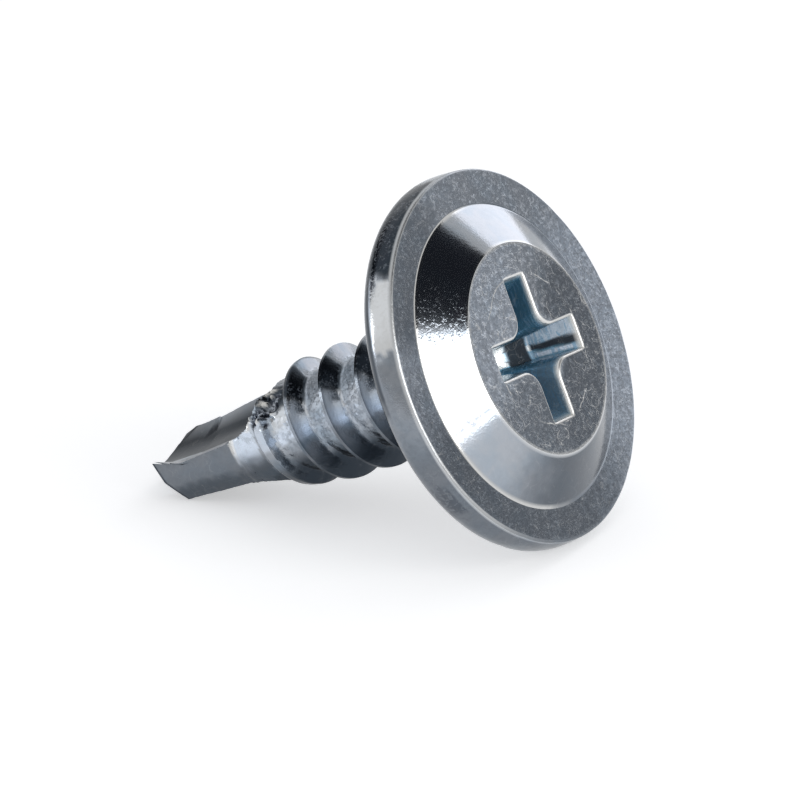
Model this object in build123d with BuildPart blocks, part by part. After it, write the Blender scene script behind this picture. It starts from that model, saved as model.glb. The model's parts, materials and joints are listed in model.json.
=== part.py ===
"""Self drilling screw with a wafer head and a cross recess, formed in one piece.

The screw is modelled upright on its own axis: the bearing face under the head is at
height zero, the head stands above it, and the shank and the drill point hang below.
It is then laid down the way it comes to rest on a floor, on the rim of its head and
on two corners of its drill point. Lengths are in millimetres, angles in degrees.
"""

import os
from math import acos, asin, atan2, cos, degrees, hypot, radians, sin, sqrt, tan

from build123d import *

# Head: a thin round flange under a low cone with a flat top
flange_diameter = 11.1
flange_thickness = 1.15
flange_front_radius = 0.14
flange_back_radius = 0.55
cone_foot_diameter = 8.9
cone_top_diameter = 6.2
cone_height = 0.8
cone_foot_radius = 0.12
cone_top_radius = 0.05

# Cross recess for a size 2 bit: tapered wings over a conical floor
recess_span = 4.2
recess_width = 0.95
recess_depth = 2.1
recess_corner_radius = 0.6
recess_floor_corner_radius = 0.2
recess_end_taper = 26.5
recess_side_taper = 5.75
recess_floor_slope = 28
recess_turn = 3

# Shank: a plain blank, rolled between its ends into a coarse right-hand thread
screw_length = 13.0
blank_diameter = 3.3
neck_radius = 0.4
thread_diameter = 4.0
core_diameter = 2.9
thread_pitch = 1.41
thread_angle = 60
thread_crest = 0.1
thread_start_step = 0.04
thread_run_in = 2.3
thread_run_out = 1.0
thread_head_gap = 0.9
thread_turn = 47

# Drill point: a blunt cone, cut by two flutes into two wings joined by a web. Each wing
# has a lip facet and a heel facet; the first wing is relieved more than the second.
drill_diameter = 3.22
drill_length = 4.53
drill_shoulder = 0.15
neck_length = 0.4
web_thickness = 0.5
web_growth = 0.3
flute_radius = 3.0
flute_length = 4.3
flute_run_out_radius = 1.6
flute_turn = -71
lip_curl_length = 2.0
lip_curl_height = 1.2
point_flat_diameter = 2.3
point_slope = 20
point_corner_height = 1.0
lip_slopes = (40.2, 30.0)
lip_facet_turn = 26
heel_slopes = (48.0, 34.0)
heel_facet_turn = 54.7

# Rest: the turn that brings a corner of each wing down to the floor, and the turn of the
# seam of the turned profile, which sets where the flats of the meshed rim lie
rest_turn = 97.5
seam_turn = 3.7

# How far cutting shapes reach past the metal, and sink into it where shapes join
overlap = 0.2
seam = 0.05

# Radii and heights that follow from the sizes above
flange_r = flange_diameter / 2
cone_foot_r = cone_foot_diameter / 2
cone_top_r = cone_top_diameter / 2
blank_r = blank_diameter / 2
thread_r = thread_diameter / 2
core_r = core_diameter / 2
drill_r = drill_diameter / 2
point_flat_r = point_flat_diameter / 2
head_top = flange_thickness + cone_height
tip = -screw_length
drill_top = tip + drill_length
thread_bottom = drill_top + neck_length
full_thread_bottom = thread_bottom + thread_run_in
thread_top = -thread_head_gap
full_thread_top = thread_top - thread_run_out


def recess_outline(depth, corner_radius):
    """The cross of the recess, at a depth under the top of the head."""
    span = recess_span - 2 * depth * tan(radians(recess_end_taper))
    width = recess_width - 2 * depth * tan(radians(recess_side_taper))
    with BuildSketch(Plane.XY.offset(head_top - depth).rotated((0, 0, recess_turn))) as outline:
        Rectangle(span, width)
        Rectangle(width, span)
        fillet(outline.vertices().group_by(SortBy.DISTANCE)[0], corner_radius)
    return outline.sketch


def flute_outline(plane, floor, curl):
    """The room one flute takes: a hollow curve, closed by a straight line outside."""
    half_width = blank_r + overlap
    edge = floor + flute_radius - sqrt(flute_radius**2 - half_width**2)
    far = floor + flute_run_out_radius
    with BuildSketch(plane) as outline:
        with BuildLine():
            ThreePointArc((edge, -half_width), (floor, 0), (edge + curl, half_width))
            Polyline(
                (edge + curl, half_width),
                (far + curl, half_width),
                (far, -half_width),
                (edge, -half_width),
            )
        make_face()
    return outline.sketch


# The room for the driver bit: a cross that narrows downwards, over a conical floor
with BuildPart() as bit:
    top_cross = recess_outline(-overlap, recess_corner_radius)
    floor_cross = recess_outline(recess_depth, recess_floor_corner_radius)
    loft([top_cross, floor_cross], ruled=True)
    bit_r = recess_span / 2 + overlap
    with BuildSketch(Plane.XZ):
        Polygon(
            (0, head_top - recess_depth),
            (bit_r, head_top - recess_depth + bit_r * tan(radians(recess_floor_slope))),
            (bit_r, head_top + overlap),
            (0, head_top + overlap),
            align=None,
        )
    revolve(axis=Axis.Z, mode=Mode.INTERSECT)

# The threaded length: a ridge wound round the core, trimmed to cones at its two ends
half_crest = thread_crest / 2
ridge_foot_r = core_r - overlap
half_foot = half_crest + (thread_r - ridge_foot_r) * tan(radians(thread_angle / 2))
winding_bottom = thread_bottom - half_foot
winding_height = thread_top + half_foot - winding_bottom
with BuildPart() as thread:
    with BuildLine() as winding:
        Helix(thread_pitch, winding_height, core_r, center=(0, 0, winding_bottom))
    with BuildSketch(Plane.XZ):
        with Locations((0, winding_bottom)):
            Polygon(
                (ridge_foot_r, -half_foot),
                (thread_r, -half_crest),
                (thread_r, half_crest),
                (ridge_foot_r, half_foot),
                align=None,
            )
    sweep(path=winding.line, is_frenet=True)
    with BuildSketch(Plane.XY.offset(winding_bottom - half_foot)):
        Circle(core_r)
    extrude(amount=winding_height + 2 * half_foot)
    with BuildSketch(Plane.XZ):
        Polygon(
            (0, thread_bottom),
            (blank_r + thread_start_step, thread_bottom),
            (thread_r + seam, full_thread_bottom),
            (thread_r + seam, full_thread_top),
            (blank_r + thread_start_step, thread_top),
            (0, thread_top),
            align=None,
        )
    revolve(axis=Axis.Z, mode=Mode.INTERSECT)

with BuildPart() as upright:
    # Head, neck and drill blank, turned in one profile that leaves room for the thread
    with BuildSketch(Plane.XZ.rotated((0, 0, seam_turn))):
        Polygon(
            (0, head_top),
            (cone_top_r, head_top),
            (cone_foot_r, flange_thickness),
            (flange_r, flange_thickness),
            (flange_r, 0),
            (blank_r, 0),
            (blank_r, thread_top),
            (core_r - seam, full_thread_top),
            (core_r - seam, full_thread_bottom),
            (blank_r, thread_bottom),
            (blank_r, drill_top),
            (drill_r, drill_top - drill_shoulder),
            (drill_r, tip + point_corner_height),
            (point_flat_r, tip + point_flat_r * tan(radians(point_slope))),
            (0, tip),
            align=None,
        )
    revolve(axis=Axis.Z)
    rounded = (
        (cone_top_r, head_top, cone_top_radius),
        (cone_foot_r, flange_thickness, cone_foot_radius),
        (flange_r, flange_thickness, flange_front_radius),
        (flange_r, 0, flange_back_radius),
        (blank_r, 0, neck_radius),
    )
    for ring_r, height, radius in rounded:
        level = upright.edges().filter_by(GeomType.CIRCLE).filter_by_position(Axis.Z, height, height)
        fillet(level.sort_by(lambda ring: abs(ring.radius - ring_r))[0], radius)
    with Locations(Rotation(0, 0, thread_turn)):
        add(thread.part)

    # Flutes: straight from the tip, then curving out of the blank; their lips curl forward
    flute_top = tip + flute_length
    curl_top = tip + lip_curl_length
    curl_bottom = tip - overlap
    floor = web_thickness / 2
    for turn in (flute_turn, flute_turn + 180):
        top_plane = Plane.XY.offset(flute_top).rotated((0, 0, turn))
        curl_plane = Plane.XY.offset(curl_top).rotated((0, 0, turn))
        tip_plane = Plane.XY.offset(curl_bottom).rotated((0, 0, turn))
        top_floor = floor + web_growth / 2
        run_out_axis = Axis(
            top_plane.from_local_coords((top_floor + flute_run_out_radius, 0, 0)),
            top_plane.y_dir,
        )
        top_outline = flute_outline(top_plane, top_floor, 0)
        curl_outline = flute_outline(curl_plane, floor, 0)
        tip_outline = flute_outline(tip_plane, floor, lip_curl_height)
        revolve(top_outline, axis=run_out_axis, revolution_arc=180, mode=Mode.SUBTRACT)
        loft([top_outline, curl_outline, tip_outline], ruled=True, mode=Mode.SUBTRACT)

    # Facets: each slopes up from the tip across its own wing
    reach = blank_r + overlap
    for wing_turn, lip_slope, heel_slope in zip((0, 180), lip_slopes, heel_slopes):
        for slope, facet_turn in ((lip_slope, lip_facet_turn), (heel_slope, heel_facet_turn)):
            level = Plane.XY.offset(tip).rotated((0, 0, wing_turn + facet_turn))
            across = Plane(level.origin, x_dir=level.x_dir, z_dir=-level.y_dir)
            with BuildSketch(across):
                Polygon(
                    (0, 0),
                    (reach, reach * tan(radians(slope))),
                    (reach, -overlap),
                    (0, -overlap),
                    align=None,
                )
            extrude(amount=reach, both=True, mode=Mode.SUBTRACT)

    add(bit.part, mode=Mode.SUBTRACT)

# Rest: the heel corner of the first wing and the back of the rim touch the floor
flute_centre_r = web_thickness / 2 + flute_radius
half_flute = degrees(
    acos((drill_r**2 + flute_centre_r**2 - flute_radius**2) / (2 * drill_r * flute_centre_r))
)
heel_turn = flute_turn + 180 - half_flute
heel_rise = drill_r * tan(radians(heel_slopes[0])) * cos(radians(heel_turn - heel_facet_turn))
rim_reach = flange_r - flange_back_radius - drill_r * cos(radians(rest_turn - heel_turn))
rim_height = flange_back_radius - tip - heel_rise
lift = asin(flange_back_radius / hypot(rim_reach, rim_height))
tilt = lift + atan2(rim_reach, rim_height)
lying = Plane(origin=(0, 0, 0), x_dir=(sin(tilt), 0, -cos(tilt)), z_dir=(cos(tilt), 0, sin(tilt)))
resting = upright.part.moved(lying.location * Rotation(0, 0, -rest_turn))
box = resting.bounding_box()
with BuildPart() as screw:
    with Locations((-box.center().X, -box.center().Y, -box.min.Z)):
        add(resting)
screw.part.label = "screw"

os.makedirs("parts", exist_ok=True)
export_step(screw.part, "parts/screw.step")
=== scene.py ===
"""Self drilling screw with a wafer head: its visible surface, finishes and studio.

The whole surface is one closed grid. Its columns run round the screw and its rows run
from the tip of the drill point, up the shank, over the head and down into the recess.
Lengths inside the mesh code are millimetres in the screw's own frame: the bearing face
under the head is at height zero, and the head stands above it.
"""

import json
import math

import bpy
import numpy as np
from bpy.props import FloatProperty, FloatVectorProperty, PointerProperty
from mathutils import Matrix, Vector


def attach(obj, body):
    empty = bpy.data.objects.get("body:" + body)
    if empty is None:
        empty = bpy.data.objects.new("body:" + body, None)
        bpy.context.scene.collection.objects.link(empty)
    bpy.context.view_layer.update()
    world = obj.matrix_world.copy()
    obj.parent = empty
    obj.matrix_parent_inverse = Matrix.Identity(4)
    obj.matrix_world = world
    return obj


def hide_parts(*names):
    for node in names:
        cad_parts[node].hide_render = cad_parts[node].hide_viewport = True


bl_info = {
    "name": "Self drilling screw",
    "version": (1, 0, 0),
    "blender": (4, 5, 0),
    "location": "3D View > Sidebar > Screw",
    "description": "Builds a self drilling screw with a wafer head, and its studio",
    "category": "Add Mesh",
}

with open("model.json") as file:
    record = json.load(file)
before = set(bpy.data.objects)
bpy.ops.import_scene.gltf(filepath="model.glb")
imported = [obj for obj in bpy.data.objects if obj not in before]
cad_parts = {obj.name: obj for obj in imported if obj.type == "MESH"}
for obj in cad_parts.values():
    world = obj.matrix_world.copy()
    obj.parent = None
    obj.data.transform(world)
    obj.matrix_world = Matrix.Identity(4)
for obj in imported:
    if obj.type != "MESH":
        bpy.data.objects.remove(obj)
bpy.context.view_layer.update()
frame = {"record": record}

MM = 0.001
BODY = "root"
NODE = "screw"
PIECE = "wafer_head_screw"

# The turn that brings a corner of each wing of the drill point down to the floor
REST_TURN = math.radians(97.5)

# Columns of the grid, and wings of the cross recess, which share them evenly
COLUMNS = 240
WINGS = 4

# Radius in millimetres that means no flute is near
FAR = 9.0

# Heights along the screw in millimetres: where the rows of the drill point end, where the
# winding rows end, and where the thread begins to run out and is gone
POINT_ROWS_TOP = -8.32
THREAD_ROWS_TOP = -0.86
FULL_THREAD_TOP = -1.9
THREAD_TOP = -0.9
# Length of the plain neck between drill and thread, and of the thread's run-in
NECK_LENGTH = 0.4
THREAD_RUN_IN = 2.3
# How far the thread stands over the blank where it starts
START_STEP = 0.04

# Roundings of the cone's foot and top, and the innermost ring of the flat top's rows
CONE_FOOT_ROUNDING = 0.12
CONE_TOP_ROUNDING = 0.05
CAP_INNER_RADIUS = 2.75

# The two flutes: where each lies, and how much later it runs out on its far side
FLUTES = ((0, 0.8), (180, 0.0))
# Facets of the drill point: the turn that each one faces, and its slope, in degrees
POINT_FACETS = ((26, 40.2), (54.7, 48.0), (150, 25.0), (206, 14.5), (234.7, 14.5))


# ---------------------------------------------------------------- sizes and colours


def length(name, millimetres, text):
    """A length that a user may change, kept in metres."""
    return FloatProperty(
        name=name, description=text, default=millimetres * MM, unit="LENGTH", precision=5
    )


def degrees_of(name, degrees, text):
    """An angle that a user may change, kept in radians."""
    return FloatProperty(
        name=name, description=text, default=math.radians(degrees), subtype="ANGLE"
    )


def tint(name, colour, text):
    """A colour that a user may change."""
    return FloatVectorProperty(
        name=name, description=text, default=colour, subtype="COLOR", min=0, max=1
    )


class HeadSizes(bpy.types.PropertyGroup):
    """Sizes of the head and its recess."""

    flange_diameter: length("Flange diameter", 11.1, "Across the rim of the head")
    flange_thickness: length("Flange thickness", 1.15, "Height of the rim")
    front_radius: length("Front rounding", 0.06, "Rounding of the rim's front edge")
    front_bevel: length("Front bevel", 0.16, "How far the front edge draws in on one side")
    back_radius: length("Back rounding", 0.55, "Rounding of the rim's back edge")
    cone_foot: length("Cone foot", 8.9, "Diameter where the cone meets the flange")
    cone_top: length("Cone top", 6.2, "Diameter of the flat top")
    cone_height: length("Cone height", 0.8, "Height of the cone over the flange")
    recess_span: length("Recess span", 4.2, "From wing end to wing end")
    recess_width: length("Recess width", 0.95, "Across one wing at the top")
    recess_depth: length("Recess depth", 2.1, "From the flat top to the recess floor")
    recess_corner: length("Recess corner", 0.6, "Inner corner radius at the top")
    recess_root: length("Recess root", 0.2, "Inner corner radius at the floor")
    recess_lip: length("Recess edge", 0.10, "Rounding of the recess edge")
    end_taper: degrees_of("End taper", 26.5, "Slope of the wing ends")
    side_taper: degrees_of("Side taper", 5.75, "Slope of the wing sides")
    floor_slope: degrees_of("Floor slope", 28, "Slope of the recess floor")
    recess_turn: degrees_of("Recess turn", 3, "Turn of the recess about the axis")


class ShankSizes(bpy.types.PropertyGroup):
    """Sizes of the thread and its blank."""

    blank_diameter: length("Blank diameter", 3.3, "Plain shank before rolling")
    neck_radius: length("Neck rounding", 0.4, "Fillet under the head")
    thread_diameter: length("Thread diameter", 4.0, "Over the crests")
    core_diameter: length("Core diameter", 2.9, "Over the thread roots")
    thread_pitch: length("Pitch", 1.41, "From crest to crest")
    crest: length("Crest width", 0.1, "Flat on top of the thread")
    thread_turn: degrees_of("Thread turn", 47, "Turn of the winding's start")
    softness: length("Rolled rounding", 0.05, "Rounding that rolling leaves on edges")
    roughness: length("Root roughness", 0.025, "Height of the rough skin in the roots")


class PointSizes(bpy.types.PropertyGroup):
    """Sizes of the drill point."""

    screw_length: length("Length under head", 13.0, "From bearing face to tip")
    drill_diameter: length("Drill diameter", 3.22, "Across the lands")
    drill_length: length("Drill length", 4.53, "From tip to neck")
    web: length("Web", 0.5, "Metal between the flutes at the tip")
    web_growth: length("Web growth", 0.3, "How much thicker it gets upwards")
    flute_radius: length("Flute radius", 3.0, "Radius of the flute's hollow")
    flute_length: length("Flute length", 4.3, "Straight part of the flute")
    run_out: length("Flute run-out", 1.6, "Radius in which the flute runs out")
    flute_turn: degrees_of("Flute turn", -71, "Turn of the first flute")
    curl_height: length("Lip curl", 0.75, "How far the lips curl over the flutes")


class ZincColours(bpy.types.PropertyGroup):
    """Colours of the zinc plate, and of the light and shade painted on it."""

    plate: tint("Plate", (0.38, 0.405, 0.44), "Bright zinc on the open faces")
    shade: tint("Shade", (0.20, 0.22, 0.25), "Duller, thinner plate")
    blue: tint("Blue film", (0.27, 0.35, 0.43), "Passivated film, faintly blue")
    # painted dark reflections and painted shade
    painted_dark: tint("Slate", (0.035, 0.045, 0.058), "Dark bands and dull dark plate")
    # pale specks and light rough skin, and painted reflections and highlights
    pale_and_painted_light: tint("Pale film", (0.67, 0.745, 0.85), "Light bands and clear bluish plate")
    # partly the plate's film, partly painted shade and painted blue reflection in the recess
    deep: tint("Deep film", (0.07, 0.22, 0.32), "Thick passivated film in the recess")
    streak: tint("Streaks", (0.20, 0.36, 0.50), "Lighter lines in the deep film")
    # rubbed wear and scratches, and painted highlights
    wear_and_highlight: tint("Worn", (0.78, 0.77, 0.74), "Edges rubbed bright")
    # stains, and painted shade in the hollows of torn metal
    soot_and_shade: tint("Dark film", (0.03, 0.035, 0.05), "Dark specks and stained skin")


# ---------------------------------------------------------------- noise and blends


def lattice_noise(points, scale, seed):
    """Smooth noise from -1 to 1 at points, with a cell of the given size."""
    cell = points / scale
    base = np.floor(cell).astype(np.int64)
    part = cell - base
    part = part * part * (3 - 2 * part)
    total = np.zeros(points.shape[:-1])
    for corner in np.ndindex(2, 2, 2):
        at = base + np.array(corner)
        mixed = at[..., 0] * 73856093 ^ at[..., 1] * 19349663 ^ at[..., 2] * 83492791
        mixed = (mixed ^ seed * 2654435761) & 0xFFFFFFFF
        mixed = (mixed ^ (mixed >> 15)) * 2246822519 & 0xFFFFFFFF
        mixed = (mixed ^ (mixed >> 13)) * 3266489917 & 0xFFFFFFFF
        value = ((mixed ^ (mixed >> 16)) & 0xFFFFFF) / 0x7FFFFF - 1
        weight = np.prod(np.where(np.array(corner) == 1, part, 1 - part), axis=-1)
        total += weight * value
    return total


def soft_min(a, b, width):
    """The lower of two fields, rounded where they cross."""
    mix = np.clip(0.5 + 0.5 * (b - a) / width, 0, 1)
    return b * (1 - mix) + a * mix - width * mix * (1 - mix)


def soft_max(a, b, width):
    """The higher of two fields, rounded where they cross."""
    return -soft_min(-a, -b, width)


def ease(low, high, value):
    """0 below low and 1 above high, smooth between."""
    part = np.clip((value - low) / (high - low), 0, 1)
    return part * part * (3 - 2 * part)


def steps(low, high, count):
    """Evenly spaced values after low, the last of them high."""
    return np.linspace(low, high, count + 1)[1:]


def around_gap(turn, centre):
    """How far a turn is from another, in degrees."""
    return np.abs((turn - centre + 180) % 360 - 180)


def around(turn, centre, half, soft):
    """1 within half a width of a turn, falling to 0 over a soft edge, in degrees."""
    return 1 - ease(half, half + soft, around_gap(turn, centre))


def polar(radius, turn, height):
    """Points from polar coordinates, turn in degrees."""
    angle = np.radians(turn)
    radius, angle, height = np.broadcast_arrays(radius, angle, height)
    return np.stack([radius * np.cos(angle), radius * np.sin(angle), height], axis=-1)


def burr_field(turn, height):
    """Blobs of torn metal, from -1 to 1, where the thread starts beside the flute."""
    spots = polar(1.7, turn, height)
    low = ease(-8.2, -7.85, height) * (1 - ease(-7.1, -6.5, height))
    blobs = lattice_noise(spots, 0.17, 51) * 0.6 + lattice_noise(spots, 0.3, 52) * 0.4
    return low * around(turn, -35, 17, 12) * np.clip(blobs * 1.6, -1, 1)


# ---------------------------------------------------------------- the screw's surface


class Surface:
    """The closed grid of the screw, and the finish of each row."""

    def __init__(self, head, shank, point):
        self.head = head
        self.shank = shank
        self.point = point
        self.vertices = []
        self.count = 0
        self.faces = []
        self.finishes = []
        self.even = math.degrees(head.recess_turn) + 360 / COLUMNS * np.arange(COLUMNS)
        self.corner_columns()

    def mm(self, group, name):
        """A size in millimetres."""
        return getattr(group, name) / MM

    # columns

    def lip_angle(self, side, height, late):
        """How far from the middle of a flute its edge meets the land, at each height."""
        low = np.full(np.shape(height), 20.0)
        high = np.full(np.shape(height), 89.0)
        land = self.mm(self.point, "drill_diameter") / 2
        for _ in range(24):
            middle = (low + high) / 2
            angle = np.radians(middle)
            floor = self.flute_floor(side * land * np.sin(angle), height, late)
            open_here = land * np.cos(angle) >= floor
            low = np.where(open_here, middle, low)
            high = np.where(open_here, high, middle)
        return (low + high) / 2

    def corner_columns(self):
        """Picks the columns that follow the edges of the two flutes."""
        straight = np.array([-11.0])  # a height where the flutes run straight
        self.pins = []
        turn = math.degrees(self.point.flute_turn)
        for flute, late in FLUTES:
            for side in (-1, 1):
                angle = turn + flute + side * self.lip_angle(side, straight, late)[0]
                column = int(round((angle - self.even[0]) % 360 / (360 / COLUMNS)))
                self.pins.append((column, flute, side, late))
        self.pins.sort()

    def columns_at(self, height):
        """The turn of every column where the flutes have edges, at each height."""
        turn = math.degrees(self.point.flute_turn)
        shift = np.zeros(np.broadcast(height, self.even).shape)
        knots = []
        for column, flute, side, late in self.pins:
            want = turn + flute + side * self.lip_angle(side, height, late)
            have = self.even[column % COLUMNS]
            knots.append((column, (want - have + 180) % 360 - 180))
        first, last = knots[0], knots[-1]
        knots = [(last[0] - COLUMNS, last[1])] + knots + [(first[0] + COLUMNS, first[1])]
        index = np.arange(COLUMNS)
        for (start, shift_a), (stop, shift_b) in zip(knots, knots[1:]):
            part = np.clip((index - start) / (stop - start), 0, 1)
            inside = (index >= start) & (index < stop)
            mixed = shift_a * (1 - part) + shift_b * part
            shift = np.where(inside, mixed, shift)
        return self.even + shift

    # fields

    def flute_floor(self, across, height, late):
        """How far from the axis plane the hollow of a flute lies.

        On its far side a flute may narrow towards the shank and run out later.
        """
        point = self.point
        tip = -self.mm(point, "screw_length")
        radius = self.mm(point, "flute_radius")
        top = tip + self.mm(point, "flute_length")
        # the web thickens from 2 mm over the tip
        grown = np.clip((height - (tip + 2.0)) / (top - tip - 2.0), 0, 1)
        floor = self.mm(point, "web") / 2 + self.mm(point, "web_growth") / 2 * grown
        half = np.minimum(np.abs(across), radius - 0.01)
        hollow = floor + radius - np.sqrt(radius**2 - half**2)
        # near the tip the cutting lip curls over the hollow
        curl = 1 - ease(tip + 0.7, tip + 2.3, height)
        reach = np.clip((across - 0.2) / 1.4, 0, None)
        hollow = hollow + self.mm(point, "curl_height") * curl * reach**1.6
        # the far side closes in towards the shank
        narrowed = np.clip((height - tip - 1.0) / 3.4, 0, 1.3) ** 1.5
        hollow = hollow + 0.5 * late * narrowed * np.clip(-across - 0.3, 0, 1.2) ** 2
        # over its straight part the flute curves out of the blank
        run_out = self.mm(point, "run_out")
        above = np.clip(height - top - late * ease(0.0, 1.3, -across), 0, None)
        lever = np.clip(floor + run_out - hollow, 0, None)
        left = lever**2 - above**2
        risen = floor + run_out - np.sqrt(np.clip(left, 0, None))
        return np.where(above > 0, np.where(left > 0, risen, FAR), hollow)

    def flute_radius_at(self, turn, height):
        """The distance from the axis to the nearest flute surface, or a far one."""
        nearest = np.full(np.broadcast(turn, height).shape, FAR)
        tries = np.linspace(0.1, 2.3, 56)
        step = tries[1] - tries[0]
        for flute, late in FLUTES:
            angle = np.radians(turn - math.degrees(self.point.flute_turn) - flute)
            facing = np.cos(angle) > 0.05
            low = np.zeros(nearest.shape)
            found = np.zeros(nearest.shape, bool)
            for radius in tries:
                floor = self.flute_floor(radius * np.sin(angle), height, late)
                cut = radius * np.cos(angle) >= floor
                hit = facing & cut & ~found
                low = np.where(hit, radius - step, low)
                found |= hit
            high = low + step
            for _ in range(12):
                middle = (low + high) / 2
                floor = self.flute_floor(middle * np.sin(angle), height, late)
                cut = middle * np.cos(angle) >= floor
                high = np.where(cut, middle, high)
                low = np.where(cut, low, middle)
            nearest = np.where(found, np.minimum(nearest, high), nearest)
        return nearest

    def thread_bottom(self):
        """The height where the thread starts, over the plain neck of the drill point."""
        point = self.point
        tip = -self.mm(point, "screw_length")
        return tip + self.mm(point, "drill_length") + NECK_LENGTH

    def thread_offset(self, turn, height):
        """How far along the axis the nearest crest lies."""
        shank = self.shank
        pitch = self.mm(shank, "thread_pitch")
        foot = self.mm(shank, "core_diameter") / 2 - 0.2
        depth = self.mm(shank, "thread_diameter") / 2 - foot
        half_foot = self.mm(shank, "crest") / 2 + depth * math.tan(math.radians(30))
        start = self.thread_bottom() - half_foot
        crest = start + pitch * (turn - math.degrees(shank.thread_turn)) / 360
        return (height - crest + pitch / 2) % pitch - pitch / 2

    def shank_radius(self, turn, height):
        """The radius of the threaded blank."""
        shank = self.shank
        blank = self.mm(shank, "blank_diameter") / 2
        crest_radius = self.mm(shank, "thread_diameter") / 2
        core = self.mm(shank, "core_diameter") / 2
        soft = self.mm(shank, "softness")
        bottom = self.thread_bottom()
        land = self.mm(self.point, "drill_diameter") / 2
        spots = polar(1.8, turn, height)
        ragged = lattice_noise(spots, 0.22, 5) * 0.5 + lattice_noise(spots, 0.09, 6) * 0.5
        offset = np.abs(self.thread_offset(turn, height)) - self.mm(shank, "crest") / 2
        ridge = crest_radius - np.clip(offset, 0, None) * math.tan(math.radians(60))
        ridge = soft_max(ridge, core, soft * 2)
        start = ease(bottom - 0.1, bottom + 0.5, height)
        start = start * (1 - ease(bottom + 0.5, bottom + 2.0, height))
        ridge = ridge + 0.05 * start * ragged
        # the cone-ended envelope that trims the thread, and the metal under it
        full = [bottom, bottom + THREAD_RUN_IN, FULL_THREAD_TOP, THREAD_TOP, 0]
        step = blank + START_STEP
        cover = [core, core, step, crest_radius, crest_radius, step, blank]
        cover = np.interp(height, [-14, bottom - 0.06] + full, cover)
        ridge = soft_min(ridge, cover, soft)
        under = [land, land, blank, blank, core - 0.05, core - 0.05, blank, blank]
        under = np.interp(height, [-14, bottom - 0.55, bottom - 0.4] + full, under)
        radius = soft_max(ridge, under, soft)
        root = 1 - ease(core + 0.06, core + 0.3, radius)
        radius = radius + self.mm(shank, "roughness") * root * (ragged - 0.3)
        # torn metal where the thread starts: blobs beside the flute, and one round knob
        radius = radius + 0.17 * burr_field(turn, height)
        knob = np.hypot(around_gap(turn, -72) * 0.032, height + 7.45)
        radius = radius + 0.13 * (1 - ease(0.05, 0.3, knob))
        wobble = lattice_noise(spots, 0.8, 9) * 0.006 - 0.008
        return np.minimum(radius + wobble, crest_radius)

    def side_radius(self, turn, height):
        """The radius of the shank and drill point, with the flutes cut in."""
        solid = self.shank_radius(turn, height)
        flute = self.flute_radius_at(turn, height)
        return np.where(flute > FAR - 1, solid, soft_min(solid, flute, 0.02))

    def point_height(self, spots):
        """The height of the drill point's end over the plan of the screw."""
        x, y = spots[..., 0], spots[..., 1]
        radius = np.hypot(x, y)
        tip = -self.mm(self.point, "screw_length")
        turn = np.degrees(np.arctan2(y, x))
        # the turned end of the blank, and a lower one on the corner of the far wing
        end = np.interp(radius, [0, 0.3, 1.15, 1.61, 3.0], [0, 0.114, 0.4186, 1.0, 2.8])
        low = np.interp(radius, [0, 1.1, 1.41, 1.6, 3.0], [0, 0.30, 0.45, 0.8, 3.0])
        blunt = around(turn, -140, 12, 14) * ease(0.15, 0.6, radius)
        end = end + (low - end) * blunt
        for facing, slope in POINT_FACETS:
            angle = math.radians(facing)
            along = x * math.cos(angle) + y * math.sin(angle)
            cut = np.clip(along, 0, None) * math.tan(math.radians(slope))
            end = np.maximum(end, cut)
        return tip + end

    # rows

    def add_row(self, spots):
        """Keeps one ring of points and returns their numbers."""
        numbers = np.arange(self.count, self.count + len(spots))
        self.vertices.append(spots)
        self.count += len(spots)
        return numbers

    def add_face(self, numbers, finish):
        """Keeps one face, unless points that fall together leave it without area."""
        corners = list(dict.fromkeys(int(number) for number in numbers))
        if len(corners) > 2:
            self.faces.append(corners)
            self.finishes.append(finish)

    def join(self, lower, upper, finish):
        """Faces between two rings, given from the tip towards the head."""
        for numbers in zip(lower, np.roll(lower, -1), np.roll(upper, -1), upper):
            self.add_face(numbers, finish)

    def build_point(self):
        """The end of the drill point and its sides up to the first thread."""
        centre = self.add_row(polar(0.0, np.zeros(1), -self.mm(self.point, "screw_length")))
        edge = np.full(COLUMNS, -12.0)
        for _ in range(6):
            turn = self.columns_at(edge)
            radius = self.side_radius(turn, edge)
            edge = self.point_height(polar(radius, turn, 0 * turn))
        below = np.repeat(centre, COLUMNS)
        for part in steps(0, 1, 24):
            plan = polar(radius * part, turn, 0 * turn)
            plan[:, 2] = self.point_height(plan)
            grain = lattice_noise(plan, 0.18, 21) * 0.008 * (part < 1)
            plan[:, 2] += np.abs(grain)
            ring = self.add_row(plan)
            self.join(below, ring, "point")
            below = ring
        for part in steps(0, 1, 72):
            height = edge + (POINT_ROWS_TOP - edge) * part
            turn = self.columns_at(height)
            radius = self.side_radius(turn, height)
            ring = self.add_row(polar(radius, turn, height))
            self.join(below, ring, "point")
            below = ring
        return below, turn

    def even_at(self, turn):
        """The even columns, each within half a turn of the given one."""
        return turn + (self.even - turn + 180) % 360 - 180

    def build_thread(self, below, turn):
        """The threaded shank, on rows that wind with the thread."""
        shank = self.shank
        pitch = self.mm(shank, "thread_pitch")
        start, top = POINT_ROWS_TOP, THREAD_ROWS_TOP
        margin = 0.012  # keeps a winding row off the level rows at either end
        turn = self.even_at(turn)
        first = turn[0]
        part = (turn - first) / 360
        half = self.mm(shank, "crest") / 2
        rise = [-half, -half * 0.35, half * 0.35, half]
        flank = steps(half, half + 0.3, 6)
        root = steps(half + 0.3, pitch - half - 0.3, 13)[:-1]
        offsets = np.concatenate([rise, flank, root, pitch - flank[::-1]])
        per_turn = len(offsets)
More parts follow.
